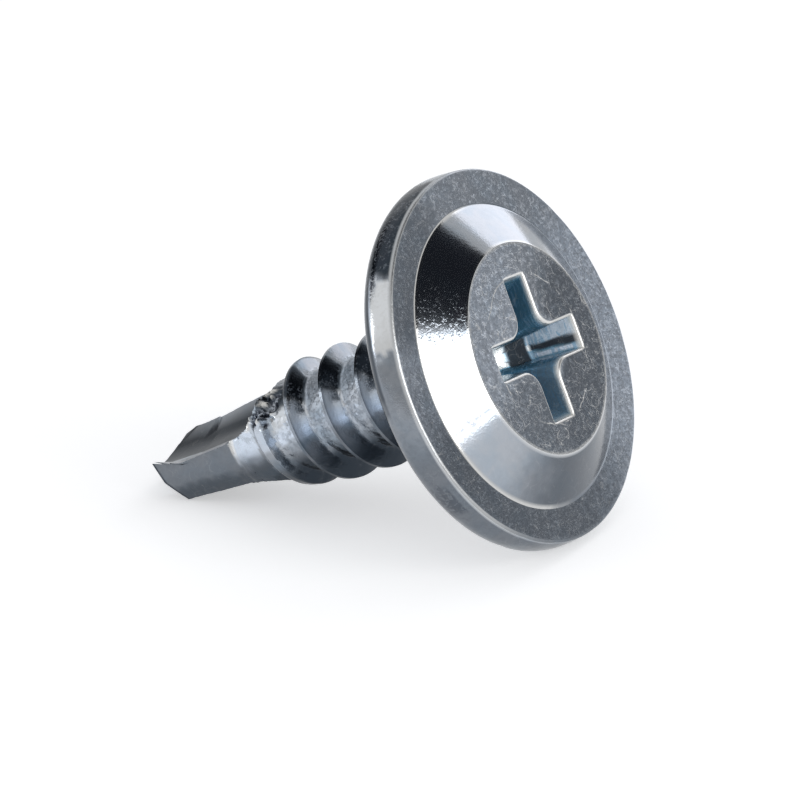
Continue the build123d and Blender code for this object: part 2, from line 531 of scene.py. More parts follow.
        # one turn of rows follows the crest, the flank, the root and the next flank
        crest = start - self.thread_offset(first, start)
        turns = int((top - start) / pitch) + 4
        levels = np.concatenate([crest + pitch * (k - 2) + offsets for k in range(turns)])
        top_points = polar(self.side_radius(turn, np.full(COLUMNS, top)), turn, top)
        top_ring = self.add_row(top_points)
        grid = []
        for level in levels:
            height = level + pitch * part
            spots = polar(self.side_radius(turn, height), turn, height)
            kept = (height > start + margin) & (height < top - margin)
            numbers = np.where(height <= start + margin, below, top_ring)
            numbers[kept] = self.add_row(spots[kept])
            grid.append(numbers)
        # past the last column a row goes on in the row that lies one turn higher
        for k in range(len(grid) - 1):
            for i in range(COLUMNS):
                if i < COLUMNS - 1:
                    right = grid[k][i + 1], grid[k + 1][i + 1]
                elif k + 1 + per_turn < len(grid):
                    right = grid[k + per_turn][0], grid[k + 1 + per_turn][0]
                else:
                    right = top_ring[0], top_ring[0]
                self.add_face((grid[k][i], right[0], right[1], grid[k + 1][i]), "thread")
        return top_ring, turn

    def head_profile(self):
        """Radius, height, and finish of each ring from the neck to the flat top."""
        head, shank = self.head, self.shank
        neck = self.mm(shank, "neck_radius")
        blank = self.mm(shank, "blank_diameter") / 2
        rim = self.mm(head, "flange_diameter") / 2
        thick = self.mm(head, "flange_thickness")
        back = self.mm(head, "back_radius")
        front = self.mm(head, "front_radius")
        foot = self.mm(head, "cone_foot") / 2
        flat = self.mm(head, "cone_top") / 2
        top = thick + self.mm(head, "cone_height")
        foot_rounding, top_rounding = CONE_FOOT_ROUNDING, CONE_TOP_ROUNDING
        rows = [(blank, z, "thread") for z in np.linspace(-0.7, -neck, 3)]
        for angle in np.radians(np.linspace(0, 90, 7))[1:]:
            across = blank + neck - neck * math.cos(angle)
            rows.append((across, -neck + neck * math.sin(angle), "flange"))
        rows += [(r, 0.0, "flange") for r in steps(blank + neck, rim - back, 13)]
        for angle in np.radians(np.linspace(0, 90, 12))[1:]:
            across = rim - back + back * math.sin(angle)
            rows.append((across, back - back * math.cos(angle), "rim"))
        rows += [(rim, z, "rim") for z in steps(back, thick - front, 9)]
        for angle in np.radians(np.linspace(0, 90, 6))[1:]:
            across = rim - front + front * math.cos(angle)
            rows.append((across, thick - front + front * math.sin(angle), "edge"))
        slope = math.atan2(top - thick, foot - flat)
        fillet = foot_rounding * math.tan(slope / 2)
        rows += [(r, thick, "flange") for r in steps(rim - front, foot + fillet, 11)]
        for angle in steps(0, slope, 4):
            across = foot + fillet - foot_rounding * math.sin(angle)
            rows.append((across, thick + foot_rounding * (1 - math.cos(angle)), "cone"))
        knee = top_rounding * math.tan(slope / 2)
        low = np.array([rows[-1][0], rows[-1][1]])
        high = np.array([flat + knee * math.cos(slope), top - knee * math.sin(slope)])
        rows += [(*(low + (high - low) * t), "cone") for t in steps(0, 1, 16)]
        for angle in np.linspace(slope, 0, 4)[1:]:
            across = flat - knee + top_rounding * math.sin(angle)
            rows.append((across, top - top_rounding * (1 - math.cos(angle)), "cone"))
        rows += [(r, top, "cap") for r in steps(flat - knee, CAP_INNER_RADIUS, 4)]
        return rows

    def dents(self, spots, radius, height):
        """How far the head's skin lies inwards: shallow dents, and one drawn-in side."""
        rim = self.mm(self.head, "flange_diameter") / 2
        back = self.mm(self.head, "back_radius")
        thick = self.mm(self.head, "flange_thickness")
        front = rim - self.mm(self.head, "front_radius")
        foot = self.mm(self.head, "cone_foot") / 2 + 0.1
        turn = np.degrees(np.arctan2(spots[:, 1], spots[:, 0]))
        # the drawn-in side: a share that grows over the rim, and fades over the flange
        if height > thick - 0.001:
            drawn = np.clip((radius - foot) / (front - foot), 0, 1)
        else:
            drawn = np.clip((height - back) / (thick - back), 0, 1) ** 2 * (radius > rim - 0.2)
        drawn = drawn * around(turn, 5, 50, 75) * (height < thick + 0.001)
        bevel = self.mm(self.head, "front_bevel") * drawn
        # the dents: broad hollows with small nicks, only near the rim
        broad = lattice_noise(spots, 1.9, 31) * 0.5 + 0.5
        small = np.clip(lattice_noise(spots, 0.35, 32) - 0.25, 0, None)
        edge = ease(rim - 0.5, rim, radius)
        return edge * (0.006 + 0.014 * broad + 0.02 * small) + bevel

    def build_head(self, below, turn):
        """The neck, flange, cone and flat top."""
        for radius, height, finish in self.head_profile():
            level = np.full(COLUMNS, height)
            inward = self.dents(polar(radius, turn, level), radius, height)
            spots = polar(radius - inward, turn, level)
            ring = self.add_row(spots)
            self.join(below, ring, finish)
            below = ring
        return below, spots

    def cross_outline(self, depth, corner):
        """The recess outline: one point for each column, evenly along each quarter."""
        head = self.head
        span = self.mm(head, "recess_span") / 2 - depth * math.tan(head.end_taper)
        half = self.mm(head, "recess_width") / 2 - depth * math.tan(head.side_taper)
        per_quarter = COLUMNS // WINGS
        end_count = per_quarter // 10
        wall_count = per_quarter // 4
        arc_count = per_quarter - 2 * end_count - 2 * wall_count
        centre = half + corner
        # each run stops short of its last point, where the next run starts
        end = np.linspace(0, 1, end_count + 1)[:-1]
        wall = np.linspace(0, 1, wall_count + 1)[:-1]
        points = [(span, half * t) for t in end]
        points += [(span + (centre - span) * t, half) for t in wall]
        for angle in np.radians(np.linspace(270, 180, arc_count + 1)[:-1]):
            across = centre + corner * math.cos(angle)
            points.append((across, centre + corner * math.sin(angle)))
        points += [(half, centre + (span - centre) * t) for t in wall]
        points += [(half * (1 - t), span) for t in end]
        quarter = np.array(points)
        turn = math.degrees(head.recess_turn)
        whole = []
        for side in range(WINGS):
            angle = math.radians(turn + 90 * side)
            cosine, sine = math.cos(angle), math.sin(angle)
            whole.append(quarter @ np.array([[cosine, sine], [-sine, cosine]]))
        return np.concatenate(whole)

    def build_recess(self, below, rim_points):
        """The flat top round the recess, its rounded edge, walls and floor."""
        head = self.head
        top = self.mm(head, "flange_thickness") + self.mm(head, "cone_height")
        depth = self.mm(head, "recess_depth")
        lip = self.mm(head, "recess_lip")
        upper = self.cross_outline(0.0, self.mm(head, "recess_corner"))
        lower = self.cross_outline(depth, self.mm(head, "recess_root"))
        middle = (np.roll(upper, -1, axis=0) - np.roll(upper, 1, axis=0)) / 2
        normal = np.stack([middle[:, 1], -middle[:, 0]], axis=-1)
        normal /= np.linalg.norm(normal, axis=1)[:, None]
        wide = upper + normal * lip
        outer = rim_points[:, :2]
        for part in steps(0, 1, 9):
            plan = outer * (1 - part) + wide * part
            ring = self.add_row(np.c_[plan, np.full(COLUMNS, top)])
            self.join(below, ring, "cap")
            below = ring
        for angle in np.radians((15, 30, 45, 60, 75)):
            plan = upper + normal * lip * (1 - math.sin(angle))
            level = top - lip * (1 - math.cos(angle))
            ring = self.add_row(np.c_[plan, np.full(COLUMNS, level)])
            self.join(below, ring, "edge")
            below = ring
        base = top - depth
        rise = math.tan(head.floor_slope)
        # how far down each column's wall goes before it meets the conical floor
        share = np.ones(COLUMNS)
        for _ in range(30):
            plan = upper + (lower - upper) * share[:, None]
            floor = base + np.hypot(plan[:, 0], plan[:, 1]) * rise
            share = np.clip((top - floor) / depth, 0.02, 1)
        for part in steps(0, 1, 18):
            at = (lip / depth + (share - lip / depth) * part)[:, None]
            plan = upper + (lower - upper) * at
            spots = np.c_[plan, top - depth * at]
            ring = self.add_row(spots)
            self.join(below, ring, "recess")
            below = ring
        for part in steps(1, 0, 14)[:-1]:
            foot = plan * part
            height = base + (spots[:, 2] - base) * part
            ring = self.add_row(np.c_[foot, height])
            self.join(below, ring, "recess")
            below = ring
        centre = self.add_row(np.array([[0.0, 0.0, base]]))
        self.join(below, np.repeat(centre, COLUMNS), "recess")

    def build(self):
        """All rows, from the tip to the recess."""
        below, turn = self.build_point()
        below, turn = self.build_thread(below, turn)
        below, rim_points = self.build_head(below, turn)
        self.build_recess(below, rim_points)
        return np.concatenate(self.vertices)


def screw_matrix():
    """From the screw's own frame, in metres, to the frame that the CAD model lies in."""
    recess = next(m for m in frame["record"]["mounts"] if m["name"] == "drive_recess")
    axis = Vector(recess["axis"]).normalized()
    head = bpy.context.scene.screw_head
    top = head.flange_thickness + head.cone_height
    origin = Vector(recess["pos_m"]) - axis * top
    level = Vector((axis.z, 0, -axis.x))
    side = axis.cross(level)
    turn = -REST_TURN
    x_axis = level * math.cos(turn) + side * math.sin(turn)
    y_axis = axis.cross(x_axis)
    matrix = Matrix((x_axis, y_axis, axis)).transposed().to_4x4()
    matrix.translation = origin
    return matrix


# ---------------------------------------------------------------- materials


class Sock:
    """A shader socket that sums and scales like a number."""

    def __init__(self, shader, socket):
        self.shader = shader
        self.socket = socket

    def math(self, operation, *others):
        """A Math node on this socket and others."""
        values = [self, *others]
        return self.shader.node("ShaderNodeMath", {"operation": operation}, values)

    def __add__(self, other):
        return self.math("ADD", other)

    def __radd__(self, other):
        return self.math("ADD", other)

    def __sub__(self, other):
        return self.math("SUBTRACT", other)

    def __rsub__(self, other):
        return self.shader.node("ShaderNodeMath", {"operation": "SUBTRACT"}, [other, self])

    def __mul__(self, other):
        return self.math("MULTIPLY", other)

    def __rmul__(self, other):
        return self.math("MULTIPLY", other)


class Shader:
    """The node tree of a new material or world, written as expressions."""

    def __init__(self, owner):
        self.owner = owner
        owner.use_nodes = True
        self.tree = owner.node_tree
        self.tree.nodes.clear()

    def node(self, kind, settings=None, inputs=(), output=0):
        """Adds a node with its settings, then its socket values or links."""
        made = self.tree.nodes.new(kind)
        for name, value in (settings or {}).items():
            setattr(made, name, value)
        pairs = inputs.items() if isinstance(inputs, dict) else enumerate(inputs)
        for key, value in pairs:
            if isinstance(value, Sock):
                self.tree.links.new(value.socket, made.inputs[key])
            elif value is not None:
                made.inputs[key].default_value = value
        return Sock(self, made.outputs[output]) if made.outputs else made

    def place(self):
        """The screw's own coordinates in millimetres, kept with the mesh."""
        return self.node("ShaderNodeAttribute", {"attribute_name": "place"}, output="Vector")

    def mask(self, name):
        """A value kept with the mesh."""
        return self.node("ShaderNodeAttribute", {"attribute_name": name}, output="Fac")

    def ray(self, kind):
        """1 where light is followed in the given way, such as Is Camera Ray."""
        return self.node("ShaderNodeLightPath", output=kind)

    def seen_or_mirrored(self):
        """1 where the camera sees a thing, by itself or in metal or glass."""
        either = self.ray("Is Camera Ray").math("MAXIMUM", self.ray("Is Glossy Ray"))
        return either.math("MAXIMUM", self.ray("Is Transmission Ray"))

    def noise(self, vector, scale, detail=3.0, roughness=0.5, distortion=0.0):
        """Fractal noise from 0 to 1."""
        values = {
            "Vector": vector,
            "Scale": scale,
            "Detail": detail,
            "Roughness": roughness,
            "Distortion": distortion,
        }
        return self.node("ShaderNodeTexNoise", {}, values, "Fac")

    def hairline(self, vector, scale, level, distortion):
        """A thin curved line where a broad noise crosses a level."""
        broad = self.noise(vector, scale, 1.0, 0.4, distortion)
        away = (broad - level).math("ABSOLUTE")
        return 1 - self.smooth(away, 0.001, 0.006)

    def scaled(self, vector, scale):
        """A vector stretched by three factors."""
        return self.node("ShaderNodeVectorMath", {"operation": "MULTIPLY"}, [vector, scale])

    def clamp(self, value, low, high):
        """0 below low and 1 above high, straight between."""
        values = {"Value": value, "From Min": low, "From Max": high}
        return self.node("ShaderNodeMapRange", {"clamp": True}, values)

    def smooth(self, value, low, high):
        """0 below low and 1 above high, smooth between."""
        settings = {"clamp": True, "interpolation_type": "SMOOTHSTEP"}
        values = {"Value": value, "From Min": low, "From Max": high}
        return self.node("ShaderNodeMapRange", settings, values)

    def mix(self, share, first, second):
        """A colour between two."""
        colours = (c if isinstance(c, Sock) else (*c, 1) for c in (first, second))
        values = dict(zip((0, 6, 7), (share, *colours)))
        return self.node("ShaderNodeMix", {"data_type": "RGBA"}, values, 2)

    def bump(self, height, strength, distance):
        """A normal from a height in metres."""
        values = {"Strength": strength, "Distance": distance, "Height": height}
        return self.node("ShaderNodeBump", {}, values, "Normal")

    def end(self, surface, kind="Material"):
        """Ends the tree in a surface, and returns the material or world."""
        self.node(f"ShaderNodeOutput{kind}", {}, {"Surface": surface})
        return self.owner


def new_material(name):
    """The empty tree of a new material."""
    return Shader(bpy.data.materials.new(name))


def zinc(
    name,
    colours,
    scratch=0.3,
    speck=0.3,
    film=0.3,
    rough=0.3,
    grain=0.4,
    size=1.0,
    deep=0.0,
):
    """Zinc plate: a mottled, faintly blue skin with specks, scratches, bright worn edges and
    painted highlights.

    The masks kept with the mesh lay fixed light and dark bands over it: painted reflections,
    painted highlights and painted shade, besides real stains and pits.
    """
    shader = new_material(name)
    place = shader.place()
    wear_and_highlight, skin, stain_and_shade, painted_dark, pale_and_painted_light, pits_and_glints = (shader.mask(mask) for mask in MASKS)
    cloud = shader.noise(place, 1.1, 4.0, 0.55, 0.4)
    smoke = shader.noise(place, 4.2 * size, 3.0, 0.6, 0.5)
    fine = shader.noise(place, 8.0 * size, 3.0, 0.6, 0.2)
    dust = shader.noise(place, 15.0, 2.0, 0.6)
    grit = shader.noise(place, 6.0 * size, 3.0, 0.65, 0.2)
    hair = shader.hairline(place, 1.5, 0.5, 0.4) + shader.hairline(place, 0.8, 0.46, 1.2)
    hair = hair + shader.hairline(place, 2.3, 0.54, 0.3)
    hair = hair + shader.hairline(place, 3.1, 0.48, 1.6)
    hair = hair * shader.smooth(shader.noise(place, 2.6, 2.0, 0.5), 0.40, 0.56)
    # a faint broken ring round the recess, 2.4 mm from the axis
    flat = shader.scaled(place, (1, 1, 0))
    away = shader.node("ShaderNodeVectorMath", {"operation": "LENGTH"}, [flat], "Value")
    away = (away + cloud * 0.35 - 2.40).math("ABSOLUTE")
    ring = (1 - shader.smooth(away, 0.008, 0.03)) * shader.smooth(cloud, 0.47, 0.53)
    ring = ring * (scratch > 0.5)
    dark_specks = shader.smooth(smoke * 0.6 + fine * 0.4, 0.44, 0.60)
    light_specks = shader.smooth(grit * 0.7 + dust * 0.3, 0.50, 0.72)
    crust = shader.smooth(fine * 0.5 + grit * 0.5, 0.48, 0.58) * skin
    body = shader.mix(shader.smooth(cloud, 0.38, 0.66) * film, colours.plate, colours.blue)
    # the pale mask lays painted reflections and painted highlights
    body = shader.mix(pale_and_painted_light, body, colours.pale_and_painted_light)
    body = shader.mix(dark_specks * speck * 0.8, body, colours.shade)
    body = shader.mix(light_specks * speck * 0.28, body, colours.pale_and_painted_light)
    body = shader.mix(skin * 0.30, body, colours.pale_and_painted_light)
    body = shader.mix(crust * 0.5, body, colours.shade)
    # in the recess a deep blue-green film with lighter streaks: partly the plate's film, partly
    # painted shade and painted blue reflection
    if deep:
        lines = shader.noise(shader.scaled(place, (1.2, 1.2, 9.0)), 1.6, 3.0, 0.6, 0.5)
        body = shader.mix((1 - pale_and_painted_light) * deep, body, colours.deep)
        body = shader.mix(shader.smooth(lines, 0.50, 0.60) * 0.8, body, colours.streak)
    # painted dark reflections and painted shade, laid by the dark mask
    body = shader.mix(painted_dark, body, colours.painted_dark)
    # stains, and painted shade in the hollows of torn metal
    body = shader.mix(stain_and_shade * shader.smooth(fine, 0.36, 0.50), body, colours.soot_and_shade)
    marks = shader.clamp(hair * scratch * 0.55 + ring * 0.7, 0.0, 1.0)
    body = shader.mix(marks, body, colours.wear_and_highlight)
    # rubbed wear, and painted highlights
    body = shader.mix(wear_and_highlight * 0.8, body, colours.wear_and_highlight)
    roughness = rough + cloud * 0.06 + dark_specks * speck * 0.12 + skin * 0.2 - wear_and_highlight * 0.04
    height = fine * 0.3 + dust * 0.3 + light_specks * speck * 0.6 - hair * 0.2 * scratch + crust
    sparse = shader.smooth(grit * 0.5 + dust * 0.5, 0.53, 0.63)
    # pits: real bumps, with pale specks painted as glints
    height = height + pits_and_glints * sparse * 2.5
    body = shader.mix(pits_and_glints * sparse * 0.5, body, colours.pale_and_painted_light)
    roughness = roughness + painted_dark * 0.5 * (deep > 0)
    normal = shader.bump(height, grain, 0.00002)
    metal = 1.0 - 0.45 * (deep > 0)
    values = {"Base Color": body, "Metallic": metal, "Roughness": roughness, "Normal": normal}
    return shader.end(shader.node("ShaderNodeBsdfPrincipled", {}, values))


# One finish for each region of the screw, in the order of the mesh's material slots
FINISHES = {
    "point": dict(scratch=0.12, speck=0.12, rough=0.27, grain=0.3),
    "thread": dict(scratch=0.05, speck=0.12, film=0.7, rough=0.16, grain=0.5),
    "flange": dict(scratch=0.35, speck=0.95, rough=0.28, grain=0.6, size=1.4),
    "rim": dict(scratch=0.1, speck=0.30, rough=0.14, grain=0.35),
    "cone": dict(scratch=0.1, speck=0.08, rough=0.09, grain=0.2),
    "cap": dict(scratch=0.8, speck=0.85, rough=0.29, grain=0.8, size=1.1),
    "edge": dict(scratch=0.1, speck=0.2, rough=0.32, grain=0.6),
    "recess": dict(rough=0.2, grain=0.5, deep=0.9),
}

# The masks that each finish reads
MASKS = ("wear_and_highlight", "skin", "stain_and_shade", "painted_dark", "pale_and_painted_light", "pits_and_glints")

# Fixed bands of light and dark. The stains and the bumps of the pits are real changes of
# the plate. The other bands, and the pale specks of the pits, are painted reflections,
# painted highlights and painted shade, and don't move with the light. Each line: mask,
# share, the turn it faces, half its width and its softness in degrees, then its lowest
# and highest height and its inner and outer radius in millimetres.
PATCHES = (
    # thread: painted reflections, dark above, light beside it with a painted highlight, darker
    # below
    ("painted_dark", 0.96, -45, 14.5, 9, -7.4, -0.3, 1.46, 2.1),
    ("painted_dark", 0.40, -85, 14, 14, -7.4, -0.3, 1.5, 2.1),
    ("pale_and_painted_light", 0.5, -9, 14, 10, -7.6, -6.9, 1.45, 2.1),
    ("pale_and_painted_light", 1.0, -9, 14, 10, -6.9, -0.2, 1.45, 2.1),
    ("wear_and_highlight", 0.5, -17, 7, 8, -7.0, -0.6, 1.46, 1.95),
    ("painted_dark", 0.97, 108, 56, 46, -7.9, -0.3, 1.3, 2.1),
    ("painted_dark", 0.40, 40, 12, 22, -7.9, -0.6, 1.3, 2.1),
    ("painted_dark", 0.60, 0, 30, 10, -7.4, -0.6, 1.93, 2.1),
    # drill point: painted shade and painted reflections on the land, collar and flutes, and a
    # painted highlight on the collar
    ("painted_dark", 0.58, 0, 40, 10, -13.0, -8.66, 1.50, 1.7),
    ("painted_dark", 0.82, 65, 33, 34, -13.0, -7.6, 1.50, 1.75),
    ("pale_and_painted_light", 0.85, -6, 14, 24, -8.66, -7.7, 1.5, 1.75),
    ("wear_and_highlight", 0.8, -8, 8, 20, -8.74, -8.54, 1.5, 1.75),
    ("painted_dark", 1.0, -104, 46, 8, -12.98, -8.2, 0.0, 1.58),
    ("painted_dark", 1.0, -95, 46, 8, -8.2, -6.7, 0.0, 1.42),
    ("painted_dark", 1.0, 109, 70, 8, -12.98, -8.0, 0.0, 1.58),
    # rim: painted reflections, dark, then a light band, then darker below; a painted highlight
    # on the light band and along the front edge, and one stain
    ("painted_dark", 1.0, -55, 18, 8, 0.02, 1.09, 5.0, 5.6),
    ("painted_dark", 0.90, -22, 22, 10, 0.0, 0.42, 4.8, 5.6),
    ("pale_and_painted_light", 1.0, -21, 10, 3, 0.42, 1.08, 5.3, 5.6),
    ("wear_and_highlight", 0.75, -21, 9, 3, 0.5, 1.08, 5.2, 5.6),
    ("painted_dark", 0.40, 6, 20, 10, 0.02, 1.08, 5.0, 5.6),
    ("painted_dark", 0.60, 75, 50, 35, 0.02, 1.08, 5.0, 5.6),
    ("stain_and_shade", 0.45, 38, 3, 3, 0.3, 0.9, 5.3, 5.6),
    ("wear_and_highlight", 0.45, -8, 50, 40, 1.08, 1.1495, 5.2, 5.6),
    # flange face: painted shade and painted light
    ("painted_dark", 0.60, 70, 42, 40, 1.1, 1.17, 4.4, 5.5),
    ("painted_dark", 0.40, -38, 18, 18, 1.1, 1.17, 4.4, 5.5),
    ("pale_and_painted_light", 0.45, 165, 42, 30, 1.1, 1.17, 4.4, 5.5),
    ("pale_and_painted_light", 0.25, 5, 12, 14, 1.1, 1.17, 4.4, 5.5),
    # cone: a painted highlight round its foot, a painted dark reflection on one side, and a
    # stain
    ("wear_and_highlight", 0.8, 0, 75, 20, 1.151, 1.19, 4.3, 4.6),
    ("painted_dark", 0.76, 125, 40, 45, 1.2, 1.93, 3.1, 4.42),
    ("stain_and_shade", 0.6, 22, 0.6, 1.4, 1.2, 1.93, 3.1, 4.42),
    # flat top: painted shade and painted light
    ("painted_dark", 0.58, 160, 60, 40, 1.9, 2.0, 1.2, 3.1),
    ("painted_dark", 0.46, 70, 30, 30, 1.9, 2.0, 1.2, 3.1),
    ("pale_and_painted_light", 0.30, -20, 50, 40, 1.9, 2.0, 1.2, 3.1),
    # pitted skin with pale specks painted as glints, at the edges of the painted dark bands
    ("pits_and_glints", 0.5, -18, 3, 4, 1.2, 1.93, 3.1, 4.42),
    ("pits_and_glints", 0.12, -32, 9, 6, 1.2, 1.93, 3.1, 4.42),
    ("pits_and_glints", 0.25, -58, 22, 10, 0.02, 1.06, 5.0, 5.6),
    ("pits_and_glints", 0.2, -34, 8, 8, -7.6, -0.3, 1.4, 2.1),
)


def recess_tones(masks, spots):
    """Painted reflections, highlights and shade inside the recess: light wing ends, and bands
    along the wings' walls.
    """
    turn = bpy.context.scene.screw_head.recess_turn
    along = spots[:, 0] * math.cos(turn) + spots[:, 1] * math.sin(turn)
    across = spots[:, 1] * math.cos(turn) - spots[:, 0] * math.sin(turn)
    radius = np.hypot(along, across)
    height = spots[:, 2]
    inside = (height < 1.93) & (height > -0.4 + 0.6 * (radius > 1.2)) & (radius < 2.12)
    deep = inside * (np.maximum(np.abs(along), np.abs(across)) < 2.12)
    # the wing at the -along end, where outward grows from its foot to the lip
    outward = np.clip((-along - 1.43) / 0.67, 0, 1)
    wall = deep * (along < -1.42) * (np.abs(across) < 0.46)
    floor = deep * (along >= -1.46) * (along < 0.5) * (np.abs(across) < 0.34)
    slot = np.abs(across - 0.01 - 0.14 * outward) / (0.08 + 0.06 * outward)
    strip = np.abs(across - 0.22 - 0.17 * outward) / 0.06
    glint = 1 - ease(0.0, 0.05, np.abs(along + 1.43))
    pocket = np.hypot(along + 1.2, across + 0.02)
    tones = (
        ("pale_and_painted_light", 0.75, wall * (across < 0.02 + 0.19 * outward)),
        ("pale_and_painted_light", 1.0, wall * (1 - ease(0.8, 1.3, strip))),
        ("painted_dark", 1.0, wall * (1 - ease(0.8, 1.2, slot))),
        ("wear_and_highlight", 1.0, floor * glint * (np.abs(across) < 0.08)),
        ("painted_dark", 1.0, floor * (1 - ease(0.16, 0.26, pocket))),
        ("painted_dark", 0.97, floor * (along > -1.42) * (along < -0.72)),
        ("wear_and_highlight", 1.0, floor * ease(-0.74, -0.68, along) * (across < 0.27)),
    )
    for name, share, patch in tones:
        masks[name] = np.maximum(masks[name], share * patch)
    # one side of the wings is painted lighter
    masks["pale_and_painted_light"] = np.maximum(masks["pale_and_painted_light"], 0.34 * deep * (across > 0.5))
    # painted highlights stay clear of the painted dark strokes, and the rounded lip gets a
    # painted highlight
    masks["painted_dark"] *= 1 - masks["wear_and_highlight"] * floor
    lip = (height > 1.82) & (height < 1.9499) & (radius < 2.4)
    masks["wear_and_highlight"] = np.maximum(masks["wear_and_highlight"], lip * 0.95)


def keep_masks(mesh, surface, spots):
    """Stores the screw's own coordinates, and the masks of wear, rough skin, stains, and
    painted light and shade.
    """
    radius = np.hypot(spots[:, 0], spots[:, 1])
    turn = np.degrees(np.arctan2(spots[:, 1], spots[:, 0]))
    height = spots[:, 2]
    broad = lattice_noise(spots, 0.9, 41)
    small = lattice_noise(spots, 0.16, 42)
    masks = {name: np.zeros(len(spots)) for name in MASKS}
    ragged = broad * 5 + small * 3
    for name, share, centre, half, soft, low, high, inner, outer in PATCHES:
        inside = (height > low) & (height < high) & (radius > inner) & (radius < outer)
        patch = share * around(turn + ragged, centre, half, soft) * inside
        masks[name] = np.maximum(masks[name], patch)
    # rough skin lies in the thread roots, and the knee round the flat top is lighter
    thread = (height < -0.7) & (height > -8.1)
    root = (1 - ease(1.46, 1.56, radius)) * thread * (height > -7.9)
    knee = ease(1.93, 1.95, height) * ease(3.02, 3.07, radius)
    masks["wear_and_highlight"] = np.maximum(masks["wear_and_highlight"], knee * 0.7)
    # torn metal: painted shade in its hollows, and a painted highlight on its peaks
    burrs = burr_field(turn, height)
    masks["stain_and_shade"] = np.maximum(masks["stain_and_shade"], ease(0.05, 0.3, -burrs))
    masks["wear_and_highlight"] = np.maximum(masks["wear_and_highlight"], ease(0.15, 0.45, burrs))
    # the rough skin also paints the roots lighter, as painted light: fully on turns below 0°,
    # little past 45°, and less near the start of the thread
    masks["skin"] = root * (1 - 0.9 * ease(0, 45, turn))
    masks["skin"] *= 0.45 + 0.55 * ease(-7.4, -6.4, height)
    # the end of the drill point is painted dark, as painted shade
    gap = height - surface.point_height(spots)
    end = (height < -10.5) * (radius > 1.1) * (1 - ease(0.05, 0.14, gap))
    masks["painted_dark"] = np.maximum(masks["painted_dark"], end * 0.97)
    recess_tones(masks, spots)
    # the painted dark reflection is taken out of the rough roots, on turns from -40° to 50°
    masks["painted_dark"] *= 1 - 0.6 * root * ease(-40, -20, turn) * (1 - ease(5, 50, turn))
    place = mesh.attributes.new("place", "FLOAT_VECTOR", "POINT")
    place.data.foreach_set("vector", spots.astype(np.float32).ravel())
    for name, values in masks.items():
        layer = mesh.attributes.new(name, "FLOAT", "POINT")
        layer.data.foreach_set("value", np.clip(values, 0, 1).astype(np.float32))


# ---------------------------------------------------------------- operators


class SCREW_OT_build(bpy.types.Operator):
    """Build the screw's visible surface over its CAD solid"""

    bl_idname = "screw.build"
    bl_label = "Build the screw"

    def execute(self, context):
        scene = context.scene
        surface = Surface(scene.screw_head, scene.screw_shank, scene.screw_point)
        spots = surface.build()
        mesh = bpy.data.meshes.new(PIECE)
        mesh.from_pydata((spots * MM).tolist(), [], surface.faces)
        for name, settings in FINISHES.items():
            mesh.materials.append(zinc(f"zinc_{name}", scene.screw_colours, **settings))
        order = list(FINISHES)
        slots = [order.index(finish) for finish in surface.finishes]
        mesh.polygons.foreach_set("material_index", slots)
        keep_masks(mesh, surface, spots)
        mesh.polygons.foreach_set("use_smooth", [True] * len(mesh.polygons))
        mesh.transform(screw_matrix())
        mesh.update()
        mesh.validate()
        mesh.set_sharp_from_angle(angle=math.radians(38))
        piece = bpy.data.objects.new(PIECE, mesh)
        scene.collection.objects.link(piece)
        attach(piece, BODY)
        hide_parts(NODE)
        return {"FINISHED"}


class SCREW_OT_studio(bpy.types.Operator):
    """Set the pale floor, the soft lights and the camera"""

    bl_idname = "screw.studio"
    bl_label = "Set the studio"

    def execute(self, context):
        make_floor()
        make_world()
        make_lights()
        make_camera()
        context.scene.view_settings.view_transform = "Standard"
        return {"FINISHED"}


# The camera's directions in the screw's own frame, what it aims at, how far that lies to
# its right, above and ahead of it in millimetres, and the scale of those distances
CAMERA_RIGHT = Vector((-0.577, 0.314, 0.7537))
CAMERA_DOWN = Vector((0.193, 0.949, -0.2481))
CAMERA_FORWARD = Vector((-0.793, 0.002, -0.6087))
CAMERA_AIM = Vector((0, 0, 1.1487))
CAMERA_OFFSET = (3.368, 1.296, 86.43)
CAMERA_SCALE = 0.9818


def make_camera():
    """The camera, a long lens from the front of the head."""
    aside, above, ahead = CAMERA_OFFSET
    offset = CAMERA_RIGHT * aside - CAMERA_DOWN * above + CAMERA_FORWARD * ahead
    place = (CAMERA_AIM - offset * CAMERA_SCALE) * MM
    rotation = screw_matrix().to_3x3()
    right = (rotation @ CAMERA_RIGHT).normalized()
    forward = (rotation @ CAMERA_FORWARD).normalized()
    up = right.cross(forward).normalized()
    right = forward.cross(up)
    matrix = Matrix((right, up, -forward)).transposed().to_4x4()
    matrix.translation = screw_matrix() @ place
    data = bpy.data.cameras.new("camera")
    data.lens = 135
    data.sensor_width = 36
    data.clip_start = 0.002
    data.clip_end = 50
    camera = bpy.data.objects.new("camera", data)
    camera.matrix_world = matrix
    bpy.context.scene.collection.objects.link(camera)
    bpy.context.scene.camera = camera


# The floor's own colour, the glow that makes it white where it is seen, and its width in
# metres. Then how white the world is in reflections, and the colour of its light.
FLOOR_COLOUR = 0.86
FLOOR_GLOW = 0.46
FLOOR_WIDTH = 3.0
MIRRORED_WHITE = 0.8
WORLD_GREY = (0.55, 0.56, 0.58)

# The point that the lights and cards face, in metres
LIGHT_AIM = Vector((0, 0, 0.006))


def flat_panel(name, wide, high, material):
    """A flat rectangle round the origin, with one material."""
    wide, high = wide / 2, high / 2
    mesh = bpy.data.meshes.new(name)
    corners = [(-wide, -high, 0), (wide, -high, 0), (wide, high, 0), (-wide, high, 0)]
    mesh.from_pydata(corners, [], [(0, 1, 2, 3)])
    mesh.materials.append(material)
    return bpy.data.objects.new(name, mesh)


